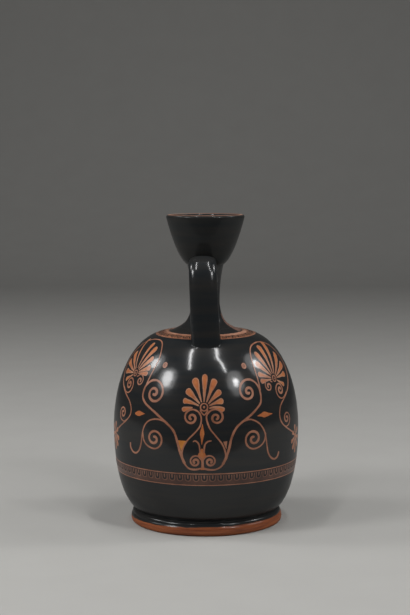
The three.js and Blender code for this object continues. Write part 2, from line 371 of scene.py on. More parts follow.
# %% The finishes of this bottle
GLOSS_EDGE_ON_FOOT = 6.1
GLOSS_RUNS_OVER_BY = 1.3
GLOSS_LEAN_ON_FOOT = (0.024, -0.024)
MOUTH_LEAN = 0.0267
# A lighter black for the mouth: painted light that lifts the down-turned bell out of its shade
SHADE_LIFTED_FILM = ("#1F2223", "#2A2826")

# Black gloss: a deep satin black that mirrors each lamp as a soft spot, duller where the film is worn. On
# the mouth the black is painted lighter, a painted lift for the bell that faces down into shade
gloss = sintered_black_gloss("sintered_black_gloss")
gloss_on_foot = sintered_black_gloss(
    "black_gloss_over_foot_edge", low=GLOSS_EDGE_ON_FOOT - GLOSS_RUNS_OVER_BY, lean=GLOSS_LEAN_ON_FOOT,
    clay="#8C502F", shine=0.07)
gloss_on_strap = sintered_black_gloss("black_gloss_rubbed_by_hands", shine=0.12)
gloss_on_mouth = sintered_black_gloss(
    "black_gloss_under_bare_lip", high=rim_level, wander_by=0.12, thins_over=0.5, lean=(0, -MOUTH_LEAN),
    clay="#947868", shine=0.038, film=SHADE_LIFTED_FILM)

# Bare clay: warm orange with a low sheen
bare_clay = burnished_clay("bare_orange_clay", "#7C4429", "#9C5A38", "#B0714C", 0.6)

# Pale clay: rubbed duller or paler than the bare clay on the leaves and the lines, and a pale pink for the
# shoulder stripe
rim_clay = burnished_clay("reserved_clay_rubbed_pale", "#7A4C36", "#966850", "#AA8064")
line_clay = burnished_clay("reserved_clay_rubbed_thin", "#6E4430", "#8A5A44", "#A07058")
pink_clay = burnished_clay("pale_pink_clay", "#8C5C48", "#A87860", "#C09680")

# Washed clay: bright orange under ochre, and brown to red where thin slip veils it
leaf_clay = burnished_clay("reserved_clay_with_ochre_wash", "#824626", "#9E5A30", "#A87042", clouds=5.0)
washed_clay = burnished_clay("clay_under_thin_brown_wash", "#2C1B16", "#42281F", "#56382B")
yolk_clay = burnished_clay("clay_under_thinnest_wash", "#4E3226", "#6A4636", "#7C5848")
tongue_clay = burnished_clay("pink_clay_under_thin_wash", "#5E4238", "#76564A", "#8C6A5C")
speckled_clay = burnished_clay("clay_under_worn_wash", "#33221A", "#7A4C34", "#BC8460", clouds=2.2)
inside_wash = burnished_clay("thin_red_wash_inside_mouth", "#34180F", "#4C2416", "#6A3824")

# Ochre: an earthy yellow
ochre = burnished_clay("yellow_ochre_touch", "#8E5222", "#A8682A", "#BA803C")
print("finishes:", ", ".join(sorted(m.name for m in bpy.data.materials if m.users == 0)))

# %% [markdown]
# ## The potter's wheel
#
# Everything round on the bottle is one outline turned about the wheel's axis. A Screw modifier or the Spin
# tool could do that, but a Geometry Nodes tree can also remember how far along the outline each point
# lies, so the same tree knows where the gloss starts. Curve to Mesh sweeps the outline round a pinhole
# circle, and Merge by Distance closes the poles. A second, smaller tree adds the potter's hand: a
# hand-thrown wall is never quite true, and the same offset moves the wall and the paint on it.

# %% Lines from a few points


def bend(*controls, step=1.4):
    """Points about a step apart on the smooth line that these points pull, without its last point."""
    rough_length = sum(math.dist(a, b) for a, b in zip(controls, controls[1:]))
    count = max(1, round(rough_length / step))
    line = []
    for i in range(count):
        level = list(controls)
        t = i / count
        while len(level) > 1:
            level = [tuple(p + (q - p) * t for p, q in zip(a, b)) for a, b in zip(level, level[1:])]
        line.append(level[0])
    return line


def length_of(line):
    """How long a line of points is."""
    return sum(math.dist(a, b) for a, b in zip(line, line[1:]))


def curve_object(name, lines, closed=False):
    """A curve object with one straight-segment spline for each line of (x, y, z, radius) in mm."""
    data = bpy.data.curves.new(name, "CURVE")
    data.dimensions = "3D"
    for line in lines:
        spline = data.splines.new("POLY")
        spline.points.add(len(line) - 1)
        for point, (x, y, z, radius) in zip(spline.points, line):
            point.co = (x * MM, y * MM, z * MM, 1)
            point.radius = radius * MM
        spline.use_cyclic_u = closed
    return put(name, data)


# %% Building and using a tree


def new_tree(name, sockets):
    """A Geometry Nodes tree with named inputs. Gives the tree, its input sockets and its output node."""
    tree = bpy.data.node_groups.new(name, "GeometryNodeTree")
    for label, kind in sockets.items():
        tree.interface.new_socket(label, in_out="INPUT", socket_type="NodeSocket" + kind)
    tree.interface.new_socket("Result", in_out="OUTPUT", socket_type="NodeSocketGeometry")
    return tree, add(tree, "NodeGroupInput").outputs, add(tree, "NodeGroupOutput")


def make_piece(name, source, tree, **values):
    """Runs a tree on a curve object and keeps the result as a plain mesh piece; the curve goes."""
    modifier = source.modifiers.new("make", "NODES")
    modifier.node_group = tree
    sockets = {item.name: item.identifier for item in tree.interface.items_tree}
    for label, value in values.items():
        modifier[sockets[label.replace("_", " ").capitalize()]] = value
    ready = source.evaluated_get(bpy.context.evaluated_depsgraph_get())
    mesh = bpy.data.meshes.new_from_object(ready)
    mesh.name = name
    source.modifiers.remove(modifier)
    bpy.data.objects.remove(source)
    piece = put(name, mesh)
    faces = sum(len(face.vertices) - 2 for face in mesh.polygons)
    print(f"{name}: {faces} triangles")
    return piece


# %% The potter's hand
WALL_DRIFT = 0.18
DRIFT_ACROSS = 70
RING_HEIGHT = 0.012
RING_PITCH = 5.5
LEAN_FROM = mouth_seam + 8

hand = bpy.data.node_groups.new("potters_hand", "GeometryNodeTree")
hand.interface.new_socket("Offset", in_out="OUTPUT", socket_type="NodeSocketVector")
spot = add(hand, "GeometryNodeInputPosition")
drift = add(hand, "ShaderNodeTexNoise", {"Vector": spot, "Scale": per_mm(DRIFT_ACROSS), "Detail": 1.0})
centred = add(hand, "ShaderNodeMath", {0: drift, 1: 0.5}, operation="SUBTRACT")
height = add(hand, "ShaderNodeSeparateXYZ", {"Vector": spot})
turns = add(hand, "ShaderNodeMath", {
    0: height.outputs["Z"], 1: 2 * math.pi / (RING_PITCH * MM)}, operation="MULTIPLY")
ring = add(hand, "ShaderNodeMath", {0: turns}, operation="SINE")
small_ring = add(hand, "ShaderNodeMath", {0: ring, 1: RING_HEIGHT * MM}, operation="MULTIPLY")
amount = add(hand, "ShaderNodeMath", {
    0: centred, 1: 2 * WALL_DRIFT * MM, 2: small_ring}, operation="MULTIPLY_ADD")
flat_spot = add(hand, "ShaderNodeVectorMath", {0: spot, 1: (1, 1, 0)}, operation="MULTIPLY")
outward = add(hand, "ShaderNodeVectorMath", {0: flat_spot}, operation="NORMALIZE")
push = add(hand, "ShaderNodeVectorMath", {0: outward, "Scale": amount}, operation="SCALE")

# The mouth sat back a little as it dried, so its front rim is higher
at_mouth = add(hand, "ShaderNodeMapRange", {
    "Value": height.outputs["Z"], "From Min": LEAN_FROM * MM, "From Max": rim_level * MM,
    "To Max": -MOUTH_LEAN}, interpolation_type="SMOOTHSTEP")
rise = add(hand, "ShaderNodeMath", {0: height.outputs["Y"], 1: at_mouth}, operation="MULTIPLY")
sat_back = add(hand, "ShaderNodeCombineXYZ", {"Z": rise})
offset = add(hand, "ShaderNodeVectorMath", {0: push, 1: sat_back}, operation="ADD")
add(hand, "NodeGroupOutput", {"Offset": offset})

# %% The end of every tree
SHARP_ANGLE = math.radians(35)


def finish_tree(tree, shape, material):
    """The end of every tree: the potter's hand, sharp corners, no instances and the finish."""
    touch = add(tree, "GeometryNodeGroup", node_tree=hand)
    moved = add(tree, "GeometryNodeSetPosition", {"Geometry": shape, "Offset": touch})
    angle = add(tree, "GeometryNodeInputMeshEdgeAngle")
    corner = add(tree, "FunctionNodeCompare", {0: angle, 1: SHARP_ANGLE}, operation="GREATER_THAN")
    soft = add(tree, "GeometryNodeSetShadeSmooth", {"Geometry": moved})
    crisp = add(tree, "GeometryNodeSetShadeSmooth", {
        "Geometry": soft, "Selection": corner, "Shade Smooth": False}, domain="EDGE")
    real = add(tree, "GeometryNodeRealizeInstances", {"Geometry": crisp})
    return add(tree, "GeometryNodeSetMaterial", {"Geometry": real, "Material": material})


# %% The wheel
PINHOLE = 0.01

wheel, given, result = new_tree("potters_wheel", {
    "Geometry": "Geometry", "Segments": "Int", "Material": "Material",
    "Second material": "Material", "Second from": "Float", "Second to": "Float"})
reach = add(wheel, "GeometryNodeSplineParameter")
marked = add(wheel, "GeometryNodeStoreNamedAttribute", {
    "Geometry": given["Geometry"], "Name": "along", "Value": reach.outputs["Length"]})
laid = add(wheel, "GeometryNodeTransform", {"Geometry": marked, "Rotation": (math.pi / 2, 0, 0)})
pinhole = add(wheel, "GeometryNodeCurvePrimitiveCircle", {
    "Resolution": given["Segments"], "Radius": PINHOLE * MM})
wall = add(wheel, "GeometryNodeCurveToMesh", {"Curve": pinhole, "Profile Curve": laid})
closed = add(wheel, "GeometryNodeMergeByDistance", {"Geometry": wall, "Distance": 2.5 * PINHOLE * MM})
outside = add(wheel, "GeometryNodeFlipFaces", {"Mesh": closed})
coat = finish_tree(wheel, outside, given["Material"])
along = add(wheel, "GeometryNodeInputNamedAttribute", {"Name": "along"})
after = add(wheel, "FunctionNodeCompare", {0: along, 1: given["Second from"]}, operation="GREATER_THAN")
before = add(wheel, "FunctionNodeCompare", {0: along, 1: given["Second to"]}, operation="LESS_THAN")
between = add(wheel, "FunctionNodeBooleanMath", {0: after, 1: before}, operation="AND")
second = add(wheel, "GeometryNodeSetMaterial", {
    "Geometry": coat, "Selection": between, "Material": given["Second material"]})
wire(wheel, result, {"Result": second})
print("nodes in the wheel's tree:", len(wheel.nodes))

# %% Throwing a part from its outline
SEGMENTS = 192


def throw(name, outline, material, second_material=None, second_from=0.0, second_to=0.0, closed=True):
    """Turns an outline of (radius, height) in mm. The second material lies between two lengths along it."""
    source = curve_object(name, [[(r, 0, z, 1) for r, z in outline]], closed)
    return make_piece(
        name, source, wheel, segments=SEGMENTS, material=material,
        second_material=second_material or material,
        second_from=second_from * MM, second_to=second_to * MM)


# %% [markdown]
# ## The four thrown parts
#
# The outlines are smooth lines with few points, read off the silhouette. One outline could give the whole
# bottle, but separate parts keep the seams where the potter joined them. Each part is a closed wall with
# its real inside: the foot is a ring, the body holds the oil, the neck has a narrow bore, and the mouth is
# a bell that lets the last drop run back.

# %% Body
BASE_RADIUS = 46.6
BELLY_LEVEL = 62.0
SHOULDER_RADIUS = 27.0
SHOULDER_LEVEL = 124.3
COLLAR_RADIUS = 17.4
WALL = 4.0
BORE_RADIUS = 6.0
FLOOR_LEVEL = 13.6
FOOT_HOLLOW_RADIUS = 37.0

belly = (belly_radius, BELLY_LEVEL)
shoulder_edge = (SHOULDER_RADIUS, SHOULDER_LEVEL)
collar = (COLLAR_RADIUS, neck_seam)
body_line = bend((BASE_RADIUS, body_low.z), (54.1, 15.0), (belly_radius, 32.0), belly)
body_line += bend(belly, (belly_radius, 91.0), (49.0, 121.5), shoulder_edge)
body_line += [*bend(shoulder_edge, (21.5, 124.9), collar, step=1.0), collar]

underside = bend((0, 10.4), (20, 10.4), (FOOT_HOLLOW_RADIUS, foot_seam + 0.2), step=5)
underside += [(FOOT_HOLLOW_RADIUS, foot_seam), (BASE_RADIUS, foot_seam)]

inner_radius = belly_radius - WALL
inner_belly = (inner_radius, BELLY_LEVEL)
inner_shoulder = (38.0, 115.0)
inside = bend((BORE_RADIUS, neck_seam), (BORE_RADIUS, 121.0), (24.0, 121.0), inner_shoulder, step=3)
inside += bend(inner_shoulder, (inner_radius, 105.0), inner_belly, step=5)
inside += bend(inner_belly, (inner_radius, 32), (46, FLOOR_LEVEL), (34, FLOOR_LEVEL), step=5)
inside.append((0, FLOOR_LEVEL))
body_outline = underside + body_line + inside
gloss_start = length_of(underside)
gloss_end = length_of(underside + body_line)
thrown_body = throw("thrown_body", body_outline, bare_clay, gloss, gloss_start, gloss_end, closed=False)

# %% Neck
NECK_RADIUS = 9.1
NECK_WAIST_LEVEL = 143.0
NECK_TOP_RADIUS = 11.8

waist = (NECK_RADIUS, NECK_WAIST_LEVEL)
neck_top = (NECK_TOP_RADIUS, mouth_seam)
neck_line = bend(collar, (13.2, 129.6), (10.0, 132.6), waist, step=0.9)
neck_line += [*bend(waist, (NECK_RADIUS, 153.0), (9.9, 161.0), neck_top), neck_top]
neck_outline = neck_line + [(BORE_RADIUS, mouth_seam), (BORE_RADIUS, neck_seam)]
thrown_neck = throw("thrown_neck", neck_outline, bare_clay, gloss, 0.0, length_of(neck_line))

# %% Mouth
MOUTH_FOOT_RADIUS = NECK_TOP_RADIUS + 0.6
LIP_WIDTH = 3.9
LIP_CROWN = 0.22
LIP_ROUND = 1.5

lip_top = rim_level + LIP_CROWN
lip_outer = (rim_radius, rim_level - LIP_ROUND)
lip_middle = (rim_radius - LIP_WIDTH * 0.55, lip_top)
lip_inner = (rim_radius - LIP_WIDTH - 0.3, rim_level - LIP_ROUND)
cup_floor = (BORE_RADIUS, 172.6)
mouth_outline = bend((MOUTH_FOOT_RADIUS, mouth_seam), (17.0, 172.0), (21.8, 184.5), lip_outer, step=0.9)
mouth_outline += bend(lip_outer, (rim_radius, lip_top), lip_middle, step=0.25)
mouth_outline += bend(lip_middle, (rim_radius - LIP_WIDTH, lip_top), lip_inner, step=0.25)
wash_start = length_of(mouth_outline)
mouth_outline += bend(lip_inner, (18.6, 186.1), (13.1, 176.0), cup_floor, step=1.2)
mouth_outline += [cup_floor, (BORE_RADIUS, mouth_seam)]
thrown_mouth = throw(
    "thrown_mouth", mouth_outline, gloss_on_mouth, inside_wash, wash_start, length_of(mouth_outline))

# %% Foot
REST_INSIDE = 40.0
REST_OUTSIDE = 47.0
FOOT_RADIUS = foot_high.x
GROOVE_RADIUS = FOOT_RADIUS - 0.9
EDGE_LEVEL = 2.9

foot_edge = (FOOT_RADIUS, EDGE_LEVEL)
under_groove = (GROOVE_RADIUS + 0.1, GLOSS_EDGE_ON_FOOT - 0.2)
groove = (GROOVE_RADIUS, GLOSS_EDGE_ON_FOOT)
foot_top = (BASE_RADIUS, foot_seam)
foot_outline = bend((REST_INSIDE, 0), (REST_OUTSIDE, 0), step=2)
foot_outline += bend((REST_OUTSIDE, 0), (FOOT_RADIUS, 0), foot_edge, step=0.35)
foot_outline += bend(foot_edge, (FOOT_RADIUS, 5.0), under_groove, step=0.25)
foot_outline += bend(groove, (GROOVE_RADIUS + 0.2, 7.0), (GROOVE_RADIUS - 0.3, 8.4), foot_top, step=0.25)
foot_outline += [foot_top, (FOOT_HOLLOW_RADIUS, foot_seam)]
foot_outline += bend(
    (FOOT_HOLLOW_RADIUS, foot_seam - 0.1), (FOOT_HOLLOW_RADIUS, 0), (REST_INSIDE, 0), step=0.8)
thrown_foot = throw("thrown_foot", foot_outline, gloss_on_foot)

# %% [markdown]
# ## The strap handle
#
# The handle was pulled from a lump of clay, so it is a flat strap with rounded edges. It leaves the neck
# just under the mouth, rises a little, bends over and drops straight to the shoulder, where the potter's
# thumb spread its root. A curve with a bevel could sweep the strap, but a tree can also shape its ends. The
# radius of each point on the path spreads the root, and the rings near it follow the shoulder. At the neck
# the end is hollowed to sit inside the neck's wall, so that it never blocks the bore.

# %% Where the shoulder draws in


def drawn_in(line, radius):
    """How far along a wall's line, and how high, the shoulder has drawn in to this radius."""
    done = 0.0
    for a, b in zip(line, line[1:]):
        part = math.dist(a, b)
        if a[1] > BELLY_LEVEL and b[0] <= radius:
            share = (a[0] - radius) / (a[0] - b[0])
            return done + part * share, a[1] + (b[1] - a[1]) * share
        done += part


# %% The strap's path
STRAP_REACH = 34.6
STRAP_TOP = 170.6
STRAP_LEAVES = 158.1
TOP_LEAN = -1.3
ROOT_LEAN = 0.8
ROOT_FILLET = 0.5
ROOT_FLARE = 0.8
FLARE_HEIGHT = 60.0
ROOT_DEPTH = 0.8
FILLET_STEPS = 8
SEAT_RADIUS = 7.5

root_level = drawn_in(body_line, STRAP_REACH)[1]
crest = (24.0, STRAP_TOP)
straight_from = (STRAP_REACH, 144.0)
strap_run = [(0.0, STRAP_LEAVES), (SEAT_RADIUS + 0.1, STRAP_LEAVES)]
strap_run += bend((8.4, STRAP_LEAVES + 0.1), (15.0, 158.9), (17.2, STRAP_TOP), crest, step=0.9)
strap_run += bend(crest, (STRAP_REACH, STRAP_TOP), (STRAP_REACH, 159.0), straight_from, step=0.9)
strap_run += bend(straight_from, (STRAP_REACH, root_level + ROOT_FILLET), step=1.0)
strap_path = [(out, up, 0.0) for out, up in strap_run]
for i in range(FILLET_STEPS + 1):
    turn = math.pi / 2 * i / FILLET_STEPS
    up = root_level + ROOT_FILLET * (1 - math.sin(turn))
    strap_path.append((STRAP_REACH, up, ROOT_FILLET * (1 - math.cos(turn))))
strap_path.append((STRAP_REACH, root_level - ROOT_DEPTH, ROOT_FILLET + 0.2))

strap_line = []
for out, up, fillet in strap_path:
    above = max(0.0, up - root_level)
    lean = ROOT_LEAN + (TOP_LEAN - ROOT_LEAN) * above / (STRAP_TOP - root_level)
    flare = ROOT_FLARE * (1 - above / FLARE_HEIGHT) if out > SEAT_RADIUS else 0.0
    strap_line.append((lean, -out, up, fillet + flare))
print(f"strap {length_of(strap_run):.1f} mm long, root at {root_level:.1f} mm")

# %% The strap's section
STRAP_WIDTH = handle_high.x - handle_low.x
OUTER_BULGE = 4.7
INNER_BULGE = 2.4
SECTION_POWER = 2.7
SECTION_POINTS = 48

section = []
for i in range(SECTION_POINTS):
    turn = 2 * math.pi * i / SECTION_POINTS
    wide = math.copysign(abs(math.cos(turn)) ** (2 / SECTION_POWER), math.cos(turn))
    thick = math.copysign(abs(math.sin(turn)) ** (2 / SECTION_POWER), math.sin(turn))
    bulge = OUTER_BULGE if thick > 0 else INNER_BULGE
    section.append((wide * STRAP_WIDTH / 2, thick * bulge, 0, 1))
strap_section = curve_object("strap_section", [section], closed=True)
print(f"strap {STRAP_WIDTH:.1f} mm wide and {OUTER_BULGE + INNER_BULGE:.1f} mm thick")

# %% The strap's tree: a sweep
strap, given, result = new_tree("pulled_strap", {
    "Geometry": "Geometry", "Section": "Object", "Shoulder": "Object", "Seat radius": "Float",
    "Root level": "Float", "Tilt from": "Float", "Material": "Material"})
cut = add(strap, "GeometryNodeObjectInfo", {"Object": given["Section"]})
rounder = (1 / STRAP_WIDTH ** 2, 1 / (OUTER_BULGE + INNER_BULGE) ** 2, 0)
rim_way = add(strap, "ShaderNodeVectorMath", {
    0: add(strap, "GeometryNodeInputPosition"), 1: rounder}, operation="MULTIPLY")
outward = add(strap, "ShaderNodeVectorMath", {0: rim_way}, operation="NORMALIZE")
marked_cut = add(strap, "GeometryNodeStoreNamedAttribute", {
    "Geometry": cut.outputs["Geometry"], "Name": "outward", "Value": outward}, data_type="FLOAT_VECTOR")
held = add(strap, "GeometryNodeSetCurveNormal", {
    "Curve": given["Geometry"], "Normal": (1, 0, 0)}, mode="FREE")
spread = add(strap, "GeometryNodeStoreNamedAttribute", {
    "Geometry": held, "Name": "spread", "Value": add(strap, "GeometryNodeInputRadius")})
pulled = add(strap, "GeometryNodeCurveToMesh", {
    "Curve": spread, "Profile Curve": marked_cut, "Fill Caps": True})

# %% The strap's tree: its spread, and the seat on the neck
swell = add(strap, "GeometryNodeInputNamedAttribute", {"Name": "spread"})
way = add(strap, "GeometryNodeInputNamedAttribute", {"Name": "outward"}, data_type="FLOAT_VECTOR")
pushed = add(strap, "ShaderNodeVectorMath", {0: way, "Scale": swell}, operation="SCALE")
push = add(strap, "ShaderNodeSeparateXYZ", {"Vector": pushed})
spot = add(strap, "ShaderNodeSeparateXYZ", {"Vector": add(strap, "GeometryNodeInputPosition")})
wide = add(strap, "ShaderNodeMath", {0: spot.outputs["X"], 1: push.outputs["X"]}, operation="ADD")
deep = add(strap, "ShaderNodeMath", {0: spot.outputs["Y"], 1: push.outputs["Y"]}, operation="SUBTRACT")
square = add(strap, "ShaderNodeMath", {0: given["Seat radius"], 1: 2.0}, operation="POWER")
across = add(strap, "ShaderNodeMath", {0: spot.outputs["X"], 1: spot.outputs["X"]}, operation="MULTIPLY")
left_over = add(strap, "ShaderNodeMath", {0: square, 1: across}, operation="SUBTRACT", use_clamp=True)
seat = add(strap, "ShaderNodeMath", {0: left_over}, operation="SQRT")
seat_back = add(strap, "ShaderNodeMath", {0: seat, 1: -1.0}, operation="MULTIPLY")
clear = add(strap, "ShaderNodeMath", {0: deep, 1: seat_back}, operation="MINIMUM")

# %% The strap's tree: its root
# Near its root every ring of the strap follows the shoulder under it
nearness = add(strap, "ShaderNodeMapRange", {
    "Value": spot.outputs["Z"], "From Min": given["Tilt from"], "From Max": given["Root level"]},
    interpolation_type="SMOOTHSTEP")
lookout = add(strap, "ShaderNodeCombineXYZ", {"X": wide, "Y": deep, "Z": given["Tilt from"]})
shoulder = add(strap, "GeometryNodeObjectInfo", {"Object": given["Shoulder"]})
drop = add(strap, "GeometryNodeRaycast", {
    "Target Geometry": shoulder.outputs["Geometry"], "Source Position": lookout,
    "Ray Direction": (0, 0, -1)})
landed = add(strap, "ShaderNodeSeparateXYZ", {"Vector": drop.outputs["Hit Position"]})
slant = add(strap, "ShaderNodeMath", {
    0: landed.outputs["Z"], 1: given["Root level"]}, operation="SUBTRACT")
tilted = add(strap, "ShaderNodeMath", {
    0: slant, 1: nearness, 2: spot.outputs["Z"]}, operation="MULTIPLY_ADD")
shaped = add(strap, "ShaderNodeCombineXYZ", {"X": wide, "Y": clear, "Z": tilted})
seated = add(strap, "GeometryNodeSetPosition", {"Geometry": pulled, "Position": shaped})
wire(strap, result, {"Result": finish_tree(strap, seated, given["Material"])})
print("nodes in the strap's tree:", len(strap.nodes))

# %% Pulling the strap
ROOT_TILT_FROM = 12.0
strap_handle = make_piece(
    "strap_handle", curve_object("strap_handle", [strap_line]), strap,
    section=strap_section, shoulder=thrown_body, seat_radius=SEAT_RADIUS * MM, root_level=root_level * MM,
    tilt_from=(root_level + ROOT_TILT_FROM) * MM, material=gloss_on_strap)
bpy.data.objects.remove(strap_section)

# %% [markdown]
# ## The painter's brush
#
# The ornament is a common one of its time: palmettes joined by curling tendrils, over a belt of eggs. It is
# drawn on a flat sheet in millimetres, x round the girth and y up the wall. A Geometry Nodes tree turns
# each line into a thin flat stroke as wide as its point radius and then lays the sheet on the vessel: x
# becomes an angle, y a length along the outline, and the thickness points out of the wall. The strokes
# are real geometry a few hundredths of a millimetre proud, like thick slip, so no texture can blur them.

# %% The wall to paint
vessel_line = body_line + neck_line[1:]
vessel = curve_object("vessel_line", [[(r, 0, z, 1) for r, z in vessel_line]])
print(f"wall to paint: {length_of(vessel_line):.1f} mm from the base to the mouth")

# %% The brush: a flat stroke
BRUSH_INPUTS = {
    "Vessel": "Object", "Drawn at radius": "Float", "Lift": "Float", "Sink": "Float",
    "Material": "Material"}
brush, given, result = new_tree("painters_brush", {"Geometry": "Geometry", **BRUSH_INPUTS})
tip = add(brush, "GeometryNodeCurvePrimitiveQuadrilateral", {"Width": 2.0, "Height": 2.0})
bristles = add(brush, "GeometryNodeSubdivideCurve", {"Curve": tip, "Cuts": 1})
level = add(brush, "GeometryNodeSetCurveNormal", {"Curve": given["Geometry"]}, mode="Z_UP")
width = add(brush, "GeometryNodeInputRadius")
tremor = add(brush, "ShaderNodeTexNoise", {
    "Vector": add(brush, "GeometryNodeInputPosition"), "Scale": per_mm(5), "Detail": 1.0})
pressure = add(brush, "ShaderNodeMapRange", {
    "Value": tremor, "From Min": 0.3, "From Max": 0.7, "To Min": 0.86, "To Max": 1.14})
trace = add(brush, "ShaderNodeMath", {0: width, 1: pressure}, operation="MULTIPLY")
order = add(brush, "GeometryNodeCurveOfPoint")
numbered = add(brush, "GeometryNodeStoreNamedAttribute", {
    "Geometry": level, "Name": "stroke", "Value": order}, data_type="INT")
pressed = add(brush, "GeometryNodeCurveToMesh", {
    "Curve": numbered, "Profile Curve": bristles, "Scale": trace, "Fill Caps": True})

# %% The brush: how thick a stroke is
# Each stroke has its own thickness, so that strokes that cross never share a surface
spot = add(brush, "ShaderNodeSeparateXYZ", {"Vector": add(brush, "GeometryNodeInputPosition")})
number = add(brush, "GeometryNodeInputNamedAttribute", {"Name": "stroke"}, data_type="INT")
chance = add(brush, "FunctionNodeRandomValue", {"ID": number, "Seed": 7, 2: 0.9, 3: 1.3})
raised = add(brush, "ShaderNodeMath", {0: given["Lift"], 1: chance.outputs[1]}, operation="MULTIPLY")
sunk = add(brush, "ShaderNodeMath", {0: given["Sink"], 1: -1.0}, operation="MULTIPLY")
upper = add(brush, "FunctionNodeCompare", {0: spot.outputs["Z"], 1: 0.0}, operation="GREATER_THAN")
proud = add(brush, "GeometryNodeSwitch", {
    "Switch": upper, "False": sunk, "True": raised}, input_type="FLOAT")

# %% The brush: from the flat sheet to the wall
# A stroke's y goes along the vessel's line, its thickness outward and its x round the axis
line = add(brush, "GeometryNodeObjectInfo", {"Object": given["Vessel"]})
wall = add(brush, "GeometryNodeSampleCurve", {
    "Curves": line.outputs["Geometry"], "Length": spot.outputs["Y"]}, mode="LENGTH")
on_wall = add(brush, "ShaderNodeSeparateXYZ", {"Vector": wall.outputs["Position"]})
slope = add(brush, "ShaderNodeSeparateXYZ", {"Vector": wall.outputs["Tangent"]})
radius = add(brush, "ShaderNodeMath", {
    0: slope.outputs["Z"], 1: proud, 2: on_wall.outputs["X"]}, operation="MULTIPLY_ADD")
drop = add(brush, "ShaderNodeMath", {0: slope.outputs["X"], 1: proud}, operation="MULTIPLY")
height = add(brush, "ShaderNodeMath", {0: on_wall.outputs["Z"], 1: drop}, operation="SUBTRACT")
turn = add(brush, "ShaderNodeMath", {
    0: spot.outputs["X"], 1: given["Drawn at radius"]}, operation="DIVIDE")
from_handle = add(brush, "ShaderNodeMath", {0: turn, 1: math.pi / 2}, operation="SUBTRACT")
spoke = add(brush, "ShaderNodeCombineXYZ", {"X": radius, "Z": height})
round_it = add(brush, "ShaderNodeVectorRotate", {
    "Vector": spoke, "Axis": (0, 0, 1), "Angle": from_handle})
wrapped = add(brush, "GeometryNodeSetPosition", {"Geometry": pressed, "Position": round_it})
wire(brush, result, {"Result": finish_tree(brush, wrapped, given["Material"])})
print("nodes in the brush's tree:", len(brush.nodes))

# %% Flowing lines
STEP = 0.5


def smooth(points, step=STEP):
    """A flowing line through a few given points, cut into even steps."""
    ends = [points[0], *points, points[-1]]
    line = []
    for a, b, c, d in zip(ends, ends[1:], ends[2:], ends[3:]):
        count = max(2, round(math.dist(b[:2], c[:2]) / step))
        for i in range(count):
            t = i / count
            line.append(tuple(
                q + t * (r - p) / 2 + t * t * (2 * p - 5 * q + 4 * r - s) / 2
                + t ** 3 * (3 * q - p - 3 * r + s) / 2
                for p, q, r, s in zip(a, b, c, d)))
    return [*line, tuple(points[-1])]


def curl(centre, radius, start, turns, inner=0.9, haste=1.5):
    """Points of a spiral that closes in to its inner radius; start is in degrees, turns may be negative."""
    count = round(abs(turns) * 10)
    points = []
    for i in range(count + 1):
        u = i / count
        reach = inner + (radius - inner) * (1 - u) ** haste
        turn = math.radians(start + 360 * turns * u)
        points.append((centre[0] + reach * math.cos(turn), centre[1] + reach * math.sin(turn)))
    return points


def walk(line):
    """Each point of a line, with the length from the line's start to it."""
    done = 0.0
    for before, (x, y) in zip([line[0], *line], line):
        done += math.dist(before, (x, y))
        yield x, y, done


# %% Tendrils
THINNEST = 0.02
strokes = []


def tendril(points, start_width, middle_width, end_width):
    """Draws a line whose width changes along it, with round ends as a loaded brush leaves them."""
    line = smooth(points)
    total = length_of(line)
    swell = 2 * middle_width - (start_width + end_width) / 2
    stroke = []
    for x, y, done in walk(line):
        u = done / total
        half = ((1 - u) ** 2 * start_width + 2 * u * (1 - u) * swell + u * u * end_width) / 2
        near_end = min(done, total - done) / half
        if near_end < 1:
            half *= math.sqrt(max(0.0, 1 - (1 - near_end) ** 2))
        stroke.append((x, y, 0, max(half, THINNEST)))
    strokes.append(stroke)


# %% Leaves
CLUB_POWER = 1.25
ROUND_END = 0.95
LEAF_STEP = 0.45
RIM = 0.55
WASH_FROM = 0.3
WASH_BASE_WIDTH = 0.3
leaves = []
washes = []


def leaf(base, end, width, bow, base_width):
    """A club-shaped petal, narrow at its base and round at its end; bow lifts its middle."""
    half = width / 2
    middle = ((base[0] + end[0]) / 2, (base[1] + end[1]) / 2 + 2 * bow)
    line = [*bend(base, middle, end, step=LEAF_STEP), end]
    total = length_of(line)
    widest = 1 - half * ROUND_END / total
    stroke = []
    for x, y, done in walk(line):
        u = done / total
        if u < widest:
            reach = base_width / 2 + (half - base_width / 2) * (u / widest) ** CLUB_POWER
        else:
            reach = half * math.sqrt(max(0.0, 1 - ((u - widest) / (1 - widest)) ** 2))
        stroke.append((x, y, 0, max(reach, THINNEST)))
    return stroke


def petal(base, end, width, bow=0.0, base_width=0.8):
    """A leaf of rubbed clay, and the orange wash on it that leaves its rim and its base bare."""
    way = (end[0] - base[0], end[1] - base[1])
    far = math.hypot(*way)
    wash_base = (base[0] + WASH_FROM * way[0], base[1] + WASH_FROM * way[1])
    wash_end = (end[0] - RIM * way[0] / far, end[1] - RIM * way[1] / far)
    leaves.append(leaf(base, end, width, bow, base_width))
    washes.append(leaf(wash_base, wash_end, width - 2 * RIM, bow / 2, WASH_BASE_WIDTH))


# %% Filled shapes, dots and eyes


def shape(*points):
    """A filled shape from (x, y, half width) points along its middle."""
    return [(x, y, 0, max(half, THINNEST)) for x, y, half in smooth(points, 0.4)]


def dot(centre, radius):
    """A round touch of the brush."""
    touch = []
    for i in range(9):
        turn = math.pi * i / 8
        half = max(radius * math.sin(turn), THINNEST)
        touch.append((centre[0] - radius * math.cos(turn), centre[1], 0, half))
    return touch


def eye(centre, radius, width, pupil):
    """A small ring, drawn as a line that meets itself, with a dot in it."""
    line = []
    for i in range(33):
        turn = 2 * math.pi * i / 32
        x = centre[0] + radius * math.cos(turn)
        y = centre[1] + radius * math.sin(turn)
        line.append((x, y, 0, width / 2))
    strokes.append(line)
    strokes.append(dot(centre, pupil))


